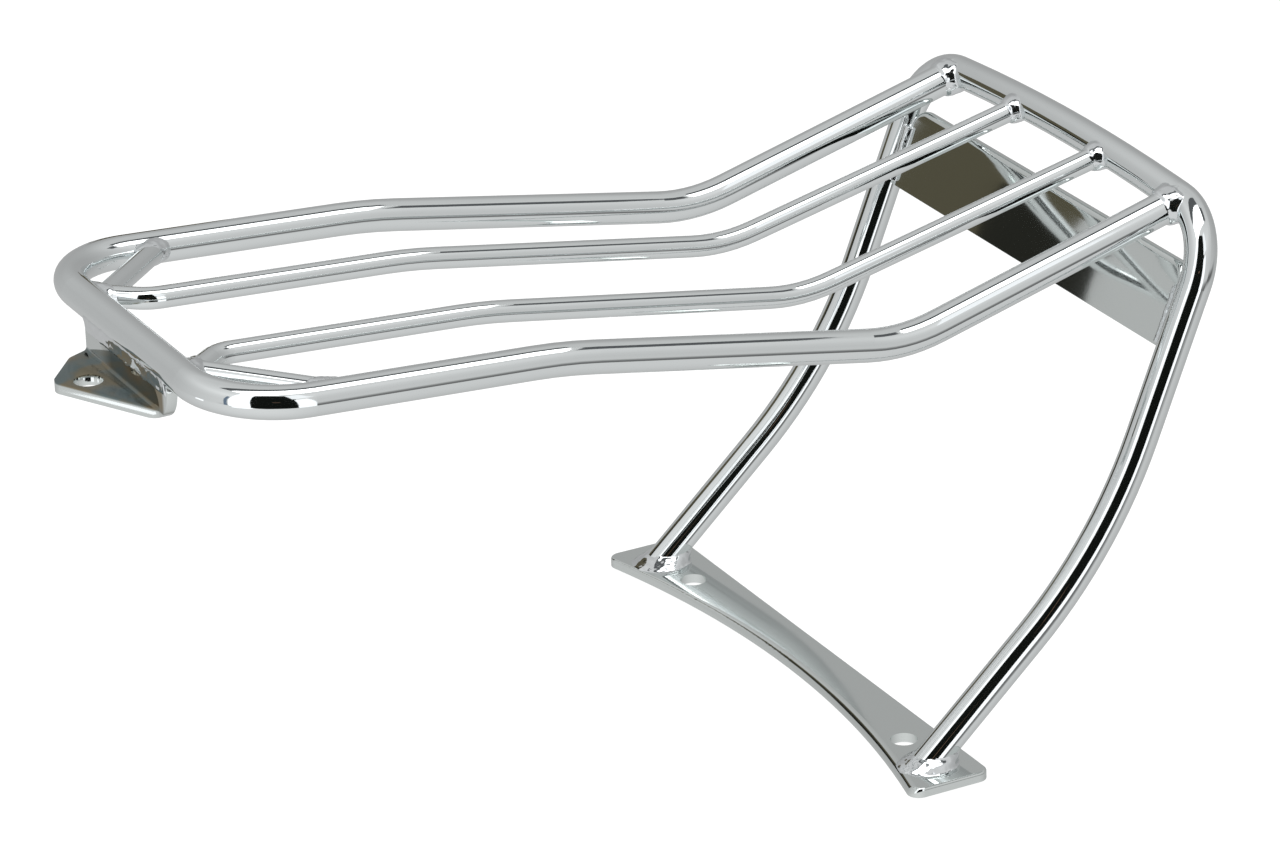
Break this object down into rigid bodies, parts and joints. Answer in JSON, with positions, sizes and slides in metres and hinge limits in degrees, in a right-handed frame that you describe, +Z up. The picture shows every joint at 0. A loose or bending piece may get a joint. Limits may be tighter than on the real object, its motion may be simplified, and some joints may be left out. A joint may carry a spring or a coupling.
{
  "type": "motorcycle luggage rack",
  "caption": "Welded chrome luggage rack for a short rear fender: bent bar deck on a hoop with a bolted foot plate and a front bracket.",
  "frame": {"origin": "midway between the two fender bolt holes, on the underside of the foot plate", "axes": "+X to the rack's left side, +Y to the rear (along the deck), +Z up, square to the foot plate"},
  "size_m": [0.2336, 0.4066, 0.1968],
  "materials": {
    "bar_chrome": "mirror plated",
    "plate_chrome": "mirror plated",
    "weld_chrome": "plated over weld beads"
  },
  "bodies": {
    "root": {"foot_plate": "plate_chrome", "rear_hoop": "bar_chrome", "deck_loop": "bar_chrome", "brace_plate": "plate_chrome", "front_bracket": "plate_chrome", "inner_rod_left": "bar_chrome", "inner_rod_right": "bar_chrome", "corner_brace_left": "bar_chrome", "corner_brace_right": "bar_chrome", "rail_weld_left": "weld_chrome", "rail_weld_right": "weld_chrome", "rod_rear_weld_left": "weld_chrome", "rod_rear_weld_right": "weld_chrome", "rod_front_weld_left": "weld_chrome", "rod_front_weld_right": "weld_chrome", "brace_side_weld_left": "weld_chrome", "brace_side_weld_right": "weld_chrome", "foot_weld_left": "weld_chrome", "foot_weld_right": "weld_chrome", "plate_weld_left": "weld_chrome", "plate_weld_right": "weld_chrome", "bracket_weld": "weld_chrome"}
  },
  "joints": []
}
